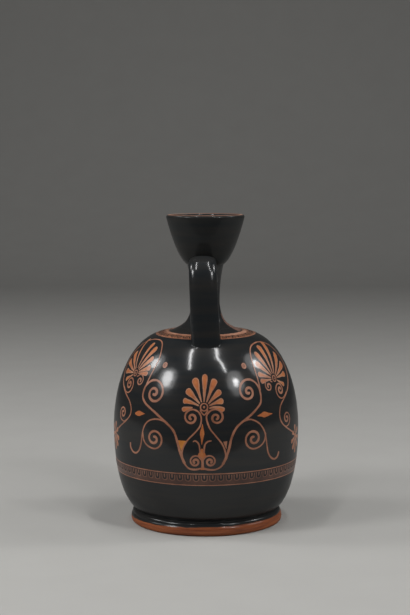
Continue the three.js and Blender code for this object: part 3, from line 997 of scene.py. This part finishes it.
# %% [markdown]
# ### The palmettes and tendrils
#
# The middle palmette stands on a lyre of two stems under the handle. From the foot of the lyre a tendril
# runs out on each side, curls in, and carries a second palmette in a loop. One half could be drawn and
# mirrored, but the painter worked freehand, so left and right differ a little, and each side has its own
# points.

# %% Middle palmette
HEART = (0.0, 78.7)
for base, end, width, bow in (
    ((0.0, 81.9), (0.6, 99.5), 4.3, 0.0),
    ((-1.6, 81.7), (-6.9, 97.0), 4.6, 0.3),
    ((1.6, 81.7), (7.8, 96.3), 4.6, 0.4),
    ((-2.8, 80.8), (-12.0, 89.5), 4.3, 0.4),
    ((2.8, 80.8), (11.3, 88.9), 4.0, 0.4),
    ((-3.4, 79.6), (-13.9, 82.6), 3.7, 0.5),
    ((3.4, 79.6), (12.8, 82.4), 3.6, 0.5),
    ((-7.4, 78.3), (-14.3, 76.5), 3.1, 0.4),
    ((3.3, 77.9), (13.0, 76.3), 3.1, 1.4),
):
    petal(base, end, width, bow)
eye(HEART, 2.3, 0.8, 0.7)
for side in (-1, 1):
    tendril([(side * 2.5, 77.2), (side * 1.6, 75.4), (0.1, 73.6)], 0.9, 0.85, 0.7)
print("middle palmette:", len(leaves), "leaves")

# %% The lyre under it
STEM = (1.2, 0.95, 1.7)
SMALL_CURL = (1.0, 1.0, 1.7)
left_stem = [(-2.0, 40.4), (-5.6, 39.6), (-9.5, 40.2), (-12.2, 43.1), (-13.8, 48.2), (-13.4, 52.3)]
left_stem += [(-10.6, 57.7), (-5.4, 63.2), (-2.4, 67.3), *curl((-7.9, 72.1), 6.1, 0, 1.8)]
right_stem = [(-0.2, 40.4), (3.0, 39.5), (7.1, 39.6), (10.8, 41.7), (13.0, 45.8), (13.2, 50.0)]
right_stem += [(11.2, 55.5), (7.1, 60.9), (3.4, 65.9), *curl((7.6, 72.2), 6.1, 180, -1.8)]
tendril(left_stem, *STEM)
tendril(right_stem, *STEM)
tendril([(-1.3, 40.4), *curl((-5.5, 44.6), 4.6, -20, 1.8)], *SMALL_CURL)
tendril([(-0.8, 40.4), *curl((3.6, 44.7), 4.6, 200, -1.8)], *SMALL_CURL)
washes.append(shape(
    (-0.9, 39.4, 1.4), (-1.0, 41.0, 1.1), (-1.0, 42.8, 0.9), (-1.1, 45.6, 1.0), (-1.4, 48.6, 2.6),
    (-1.3, 50.8, 1.6), (-1.3, 53.0, 0.2)))
strokes.append(shape(
    (-2.5, 50.4, 0.45), (-2.8, 53.4, 0.5), (-3.2, 55.4, 0.5), (-4.2, 57.0, 0.5), (-5.6, 57.8, 0.45),
    (-7.0, 57.1, 0.2)))
strokes.append(shape(
    (-0.1, 50.4, 0.45), (0.1, 53.4, 0.5), (0.5, 55.4, 0.5), (1.5, 56.8, 0.5), (2.9, 57.6, 0.45),
    (4.7, 57.8, 0.2)))
washes.append(shape(
    (-1.5, 55.4, 0.1), (-1.3, 58.6, 0.7), (-1.2, 62.4, 1.25), (-1.1, 65.4, 0.8), (-1.0, 68.4, 0.1)))

# %% Tendrils that run out from the lyre
RUN = (1.6, 1.3, 1.8)
HOOK = (1.0, 0.95, 1.3)
left_run = [(-12.2, 43.0), (-13.8, 46.8), (-15.4, 51.4), (-17.0, 57.6), (-19.2, 63.2), (-23.3, 67.3)]
left_run += [(-31.2, 72.8), (-37.0, 76.2), (-42.2, 79.4), *curl((-35.4, 86.0), 9.9, 195, -2.0)]
right_run = [(11.4, 42.5), (13.6, 46.8), (15.6, 53.0), (16.9, 58.6), (19.3, 63.8), (22.6, 67.4)]
right_run += [(30.6, 72.4), (35.8, 76.3), (39.2, 79.8), *curl((30.6, 87.2), 9.6, -10, 2.0, haste=1.8)]
tendril(left_run, *RUN)
tendril(right_run, *RUN)

left_hook = [(-23.5, 68.2), (-29.4, 69.8), (-33.8, 69.6), (-37.5, 68.2), (-40.3, 65.4), (-41.9, 61.6)]
left_hook += [(-42.7, 57.0), (-43.6, 52.6), (-45.3, 48.8), (-48.3, 46.5), (-51.4, 46.9), (-53.6, 49.4)]
left_hook += [(-53.7, 52.6)]
right_hook = [(23.5, 68.4), (29.0, 69.9), (33.3, 68.8), (37.0, 66.3), (39.8, 62.4), (41.2, 58.4)]
right_hook += [(42.1, 53.0), (43.2, 48.0), (45.4, 44.4), (48.9, 42.5), (51.9, 43.5), (53.3, 46.8)]
tendril(left_hook, *HOOK)
tendril(right_hook, *HOOK)
left_curl = [(-42.0, 61.0), (-41.0, 55.6), (-37.8, 52.4), *curl((-32.9, 57.6), 6.4, 270, 1.6, 0.7, 1.0)]
tendril(left_curl, 0.9, 1.15, 1.7)
right_curl = [(41.2, 60.5), (40.2, 55.6), (36.9, 52.4), *curl((32.0, 57.6), 6.4, 270, -1.6, 0.7, 1.0)]
tendril(right_curl, 0.9, 1.2, 1.7)
washes.append(shape(
    (-49.8, 71.4, 0.4), (-48.2, 71.6, 1.1), (-46.0, 71.9, 1.5), (-43.4, 72.1, 0.8), (-41.0, 72.2, 0.1)))
washes.append(shape(
    (35.4, 71.4, 0.1), (38.2, 71.7, 0.9), (41.0, 71.8, 1.9), (44.4, 71.6, 1.0), (48.0, 71.6, 0.1)))
for centre in ((-31.6, 104.4), (31.4, 103.8)):
    eye(centre, 1.5, 1.1, 0.7)
print("lines so far:", len(strokes))

# %% Side palmettes in their loops
FAN_FROM = 3.4

# For each petal: how far its end is out from the heart and up, its width and, if it bends, its bow
RIGHT_FAN = (
    (-14.5, -0.4, 3.3), (-15.2, 4.6, 3.9), (-14.0, 12.4, 4.6), (-9.4, 19.6, 5.2), (0.6, 24.4, 5.4),
    (13.0, 26.8, 5.2), (19.5, 16.2, 5.0), (21.2, 8.2, 4.4), (18.0, 1.2, 3.6), (10.8, -5.6, 3.0),
)
LEFT_FAN = (
    (-13.8, 1.1, 3.2), (-14.8, 5.6, 3.8), (-13.6, 12.4, 4.6), (-10.2, 20.3, 5.0), (-0.8, 23.4, 4.6),
    (17.3, 25.6, 2.6, -1.0), (18.6, 13.2, 4.6), (20.9, 6.3, 4.2), (17.2, -0.5, 3.6), (11.7, -5.8, 3.0),
)


def side_palmette(side, heart, fan):
    """A palmette that leans back over the shoulder; side is 1 for the right and -1 for the left."""
    eye(heart, 1.9, 0.8, 0.6)
    for out, up, *form in fan:
        near = FAN_FROM / math.hypot(out, up)
        base = (heart[0] + side * out * near, heart[1] + up * near)
        petal(base, (heart[0] + side * out, heart[1] + up), *form)
    inner = (heart[0] - side * 7.8, heart[1] - 4.1)
    outer = (heart[0] + side * 3.2, heart[1] - 7.6)
    start = 35 if side > 0 else 145
    tendril([(heart[0] - side * 3.0, heart[1] - 1.9), *curl(inner, 4.4, start, side * 1.6)], 0.8, 0.8, 1.5)
    start = -60 if side > 0 else 240
    tendril([(outer[0] + side * 8.0, outer[1] - 2.6), *curl(outer, 6.0, start, -side * 1.9)], 0.9, 0.9, 1.6)


side_palmette(1, (56.8, 93.0), RIGHT_FAN)
side_palmette(-1, (-59.1, 96.4), LEFT_FAN)
print("leaves with the side palmettes:", len(leaves))

# %% Loops round the side palmettes
LOOP = (1.0, 0.9, 0.9)
LOOP_CURL = (0.8, 0.85, 1.5)
left_loop = [(-44.9, 86.5), (-42.7, 93.8), (-40.6, 101.0), (-39.4, 108.0), (-41.0, 113.6), (-44.4, 118.2)]
left_loop += [(-48.8, 121.2), (-54.4, 122.8), (-60.5, 123.0), (-69.0, 121.8), (-77.5, 117.5), (-82.5, 110.0)]
left_loop += [(-83.5, 102.5), (-80.0, 95.0), (-73.5, 88.2), (-66.2, 83.2), (-58.2, 78.6), (-54.8, 74.2)]
left_loop += [(-54.8, 70.2), (-58.2, 66.4), (-63.1, 63.1), (-71.0, 58.6)]
right_loop = [(40.5, 87.0), (40.3, 93.0), (40.0, 100.0), (40.3, 106.5), (42.3, 112.4), (46.0, 116.2)]
right_loop += [(50.5, 118.3), (56.0, 119.4), (63.0, 119.8), (71.0, 118.6), (78.5, 114.6), (82.6, 107.4)]
right_loop += [(83.0, 100.0), (79.2, 92.0), (72.2, 85.2), (64.4, 80.2), (57.6, 75.8), (55.2, 71.2)]
right_loop += [(55.4, 66.8), (58.0, 63.3), (62.4, 60.4), (70.5, 56.4)]
tendril(left_loop, *LOOP)
tendril(right_loop, *LOOP)
tendril([(-58.0, 66.6), (-61.4, 64.8), *curl((-64.0, 69.9), 5.2, 280, -1.7)], *LOOP_CURL)
tendril([(58.0, 63.4), (60.2, 61.9), *curl((62.8, 66.6), 5.2, -100, 1.7)], *LOOP_CURL)

# %% Hanging flowers at the sides
PETALS = ((95, 7.5), (150, 6.5), (205, 8.0), (242, 9.5), (275, 11.5), (308, 10.0), (345, 9.0), (35, 8.0))
for side, heart in ((1, (76.0, 53.0)), (-1, (-77.0, 55.0))):
    washes.append(dot(heart, 1.6))
    for degrees, far in PETALS:
        turn = math.radians(degrees)
        reach = (side * math.cos(turn), math.sin(turn))
        base = (heart[0] + 2.0 * reach[0], heart[1] + 2.0 * reach[1])
        end = (heart[0] + far * reach[0], heart[1] + far * reach[1])
        petal(base, end, 3.0, base_width=1.0)
touches = [shape((-13.9, 57.7, 2.7), (-14.0, 54.7, 1.5), (-14.1, 51.4, 0.2))]
blushes = [shape((13.1, 57.2, 1.3), (13.4, 54.8, 0.7), (13.7, 52.4, 0.1))]
print("strokes on the handle side:", len(leaves), "leaves and", len(strokes), "lines")

# %% Laying the strokes on the wall
DRAWN_AT = 60.0
HALF_GIRTH = math.pi * DRAWN_AT
LIFT = 0.05
WASH_LIFT = 0.075
LINE_LIFT = 0.11
SINK = 0.10


def paint_strokes(name, lines, material, lift=LIFT, both_sides=True):
    """Paints strokes on the wall, and again on the far side, half a turn away."""
    far_side = [[(x + HALF_GIRTH, y, z, half) for x, y, z, half in line] for line in lines]
    source = curve_object(name, lines + far_side if both_sides else lines)
    return make_piece(
        name, source, brush, vessel=vessel, drawn_at_radius=DRAWN_AT * MM,
        lift=lift * MM, sink=SINK * MM, material=material)


reserved_leaves = paint_strokes("reserved_leaves", leaves, rim_clay)
leaf_washes = paint_strokes("leaf_washes", washes, leaf_clay, WASH_LIFT)
reserved_tendrils = paint_strokes("reserved_tendrils", strokes, line_clay, LINE_LIFT)
ochre_touches = paint_strokes("ochre_touches", touches, ochre)
red_touches = paint_strokes("red_touches", blushes, line_clay)

# %% [markdown]
# ### The belts
#
# Two bare lines hold a belt of eggs under the palmettes, and a narrower belt of eggs goes round the
# shoulder. The painter held the brush still for the lines while the pot turned, so they are thrown on the
# wheel tree as thin rings. The eggs are drawn once and repeated by instances on a row of points, which the
# brush tree then lays on the wall. The belt's ground is clay under a thin brown wash.

# %% Rings on the wall


def along_wall(low, high, step=0.8):
    """The piece of the vessel's line between two lengths along it, with each point's outward direction."""
    count = max(2, round((high - low) / step))
    piece = []
    for i in range(count + 1):
        goal = low + (high - low) * i / count
        done = 0.0
        for a, b in zip(vessel_line, vessel_line[1:]):
            part = math.dist(a, b)
            if done + part >= goal:
                t = (goal - done) / part
                out = ((b[1] - a[1]) / part, (a[0] - b[0]) / part)
                piece.append((a[0] + (b[0] - a[0]) * t, a[1] + (b[1] - a[1]) * t, *out))
                break
            done += part
    return piece


def belt(name, low, high, lift, material):
    """A painted ring between two lengths up the wall."""
    piece = along_wall(low, high)
    proud = [(r + out * lift, z + up * lift) for r, z, out, up in piece]
    sunk = [(r - out * SINK, z - up * SINK) for r, z, out, up in reversed(piece)]
    return throw(name, proud + sunk, material)


# %% Egg belt
EGG_BELT = (29.8, 35.95)
UPPER_LINE = (36.35, 36.95)
LOWER_LINE = (28.9, 29.5)
GROUND_LIFT = 0.04
egg_ground = belt("egg_belt_ground", *EGG_BELT, GROUND_LIFT, washed_clay)
egg_upper_line = belt("egg_belt_upper_line", *UPPER_LINE, LIFT, line_clay)
egg_lower_line = belt("egg_belt_lower_line", *LOWER_LINE, LIFT, line_clay)

# %% Repeating a motif round the wall
row, given, result = new_tree("row_of_motifs", {
    "Geometry": "Geometry", "Count": "Int", "Spacing": "Float", "Start": "Vector", "Sway": "Float",
    **BRUSH_INPUTS})
pitch = add(row, "ShaderNodeCombineXYZ", {"X": given["Spacing"]})
places = add(row, "GeometryNodeMeshLine", {
    "Count": given["Count"], "Start Location": given["Start"], "Offset": pitch})
swayed_back = add(row, "ShaderNodeMath", {0: given["Sway"], 1: -1.0}, operation="MULTIPLY")
sway = add(row, "FunctionNodeRandomValue", {2: swayed_back, 3: given["Sway"], "Seed": 11})
lean = add(row, "ShaderNodeCombineXYZ", {"Z": sway.outputs[1]})
copies = add(row, "GeometryNodeInstanceOnPoints", {
    "Points": places, "Instance": given["Geometry"], "Rotation": lean})
lines = add(row, "GeometryNodeRealizeInstances", {"Geometry": copies})
passed_on = {label: given[label] for label in BRUSH_INPUTS}
painted = add(row, "GeometryNodeGroup", {"Geometry": lines, **passed_on}, node_tree=brush)
wire(row, result, {"Result": painted})


def paint_row(
        name, motif, level, count, drawn_at, lift, material, sway=5.0, first_turn=0.0, last_turn=360.0):
    """Repeats a motif at one level of the wall between two angles from the handle, in degrees."""
    girth = math.radians(last_turn - first_turn) * drawn_at
    start = (math.radians(first_turn) * drawn_at * MM, level * MM, 0)
    return make_piece(
        name, curve_object(name, motif), row, count=count, spacing=girth / count * MM, start=start,
        sway=math.radians(sway), vessel=vessel, drawn_at_radius=drawn_at * MM, lift=lift * MM,
        sink=SINK * MM, material=material)


# %% Eggs and darts
EGGS = 72
EGG_LEVEL = 34.05
EGG_LIFT = 0.075
YOLK_LIFT = 0.07
SHELL_LIFT = 0.065


def cup(*left):
    """A filled shape like a U, from the points of its left half down to the middle."""
    right = [(-x, y, half) for x, y, half in reversed(left[:-1])]
    return shape(*left, *right)


egg = [
    cup((-0.95, 1.8, 0.42), (-0.95, -0.3, 0.45), (-0.67, -1.05, 0.45), (0.0, -1.35, 0.45)),
    shape((2.62, 1.6, 0.14), (2.62, 0.0, 0.18), (2.62, -1.6, 0.1)),
]
yolk = [shape((0.0, 1.8, 0.5), (0.0, 0.0, 0.5), (0.0, -0.8, 0.1))]
shell = [cup((-1.8, 1.5, 0.26), (-1.8, -0.6, 0.26), (-1.3, -1.85, 0.24), (0.0, -2.3, 0.24))]
black_eggs = paint_row("egg_belt_eggs", egg, EGG_LEVEL, EGGS, DRAWN_AT, EGG_LIFT, gloss)
pale_yolks = paint_row("egg_belt_yolks", yolk, EGG_LEVEL, EGGS, DRAWN_AT, YOLK_LIFT, yolk_clay)
pale_shells = paint_row("egg_belt_shells", shell, EGG_LEVEL, EGGS, DRAWN_AT, SHELL_LIFT, yolk_clay)

# %% Shoulder belt
RING_INSIDE = 23.7
RING_STRIPE = 3.4
RING_OUTSIDE = 32.4
RING_LINE_WIDTH = 0.6
SHOULDER_EGGS = 42
SHOULDER_DRAWN_AT = 30.0

outer_edge = drawn_in(vessel_line, RING_OUTSIDE)[0]
inner_edge = drawn_in(vessel_line, RING_INSIDE)[0]
ground_edges = (outer_edge + 0.8, inner_edge - 0.2)
shoulder_ground = belt("shoulder_belt_ground", *ground_edges, GROUND_LIFT, speckled_clay)
shoulder_outer_line = belt(
    "shoulder_belt_outer_line", outer_edge, outer_edge + RING_LINE_WIDTH, LIFT, line_clay)
stripe_level = inner_edge - RING_STRIPE / 2
# A pale pink stripe inside the shoulder belt, on the handle's half only: thin on the left, widest right of
# the handle
pale_front_stripe = shape(
    (-102.0, stripe_level, 0.1), (-70.0, stripe_level + 0.4, 0.7), (-20.0, stripe_level + 0.4, 0.8),
    (20.0, stripe_level, 1.5), (60.0, stripe_level, RING_STRIPE / 2), (85.0, stripe_level, 1.4),
    (102.0, stripe_level, 0.1))
shoulder_inner_line = paint_strokes(
    "shoulder_belt_inner_line", [pale_front_stripe], pink_clay, both_sides=False)

# %% Eggs of the shoulder belt
eggs_from = outer_edge + 1.6
eggs_to = inner_edge - RING_STRIPE - 0.5
half_height = (eggs_to - eggs_from) / 2
shoulder_level = eggs_from + half_height
shoulder_egg = [
    cup((-1.1, half_height, 0.3), (-1.1, 0.0, 0.34), (-0.8, 0.6 - half_height, 0.38),
        (0.0, -half_height, 0.38)),
    shape((2.25, half_height, 0.25), (2.25, -half_height, 0.2)),
]
shoulder_yolk = [shape(
    (0.0, half_height, 0.4), (0.0, 1.4 - half_height, 0.4), (0.0, 0.9 - half_height, 0.1))]
shoulder_eggs = paint_row(
    "shoulder_belt_eggs", shoulder_egg, shoulder_level, SHOULDER_EGGS, SHOULDER_DRAWN_AT, EGG_LIFT, gloss)
shoulder_yolks = paint_row(
    "shoulder_belt_yolks", shoulder_yolk, shoulder_level, SHOULDER_EGGS, SHOULDER_DRAWN_AT, YOLK_LIFT,
    line_clay)

# %% Tongues round the root of the neck
TONGUES = 19
TONGUES_DRAWN_AT = 15.0
TONGUE_LENGTH = 18.4
tongue = [shape(
    (0.0, 0.0, 0.6), (0.0, 1.2, 0.95), (0.0, TONGUE_LENGTH / 2, 0.95),
    (0.0, TONGUE_LENGTH - 1.0, 0.85), (0.0, TONGUE_LENGTH, 0.2))]
neck_tongues = paint_row(
    "neck_root_tongues", tongue, inner_edge + 0.6, TONGUES, TONGUES_DRAWN_AT, LIFT, tongue_clay, sway=0.0,
    first_turn=75.0, last_turn=274.0)
bpy.data.objects.remove(vessel)

# %% [markdown]
# ## Handing the pieces over
#
# Every piece rides on the vessel's one body. The thrown parts and the handle stand for the measured solids
# and for the films of slip between them.

# %% Riding and replacing
stands_for = {
    thrown_foot: ("foot", "foot_luting_slip"),
    thrown_body: ("body",),
    thrown_neck: ("neck", "neck_luting_slip"),
    thrown_mouth: ("mouth", "mouth_luting_slip"),
    strap_handle: ("handle", "handle_top_luting_slip", "handle_root_luting_slip"),
}
black_pieces = (thrown_body, thrown_neck, thrown_mouth, strap_handle, black_eggs, shoulder_eggs)
clay_pieces = (
    thrown_foot, reserved_leaves, leaf_washes, reserved_tendrils, ochre_touches, red_touches, egg_ground,
    egg_upper_line, egg_lower_line, pale_yolks, pale_shells, shoulder_ground, shoulder_outer_line,
    shoulder_inner_line, shoulder_yolks, neck_tongues)
for pieces, finish in ((black_pieces, "black_gloss"), (clay_pieces, "reserved_clay")):
    for piece in pieces:
        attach(piece, "root")
for piece, nodes in stands_for.items():
    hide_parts(*nodes)
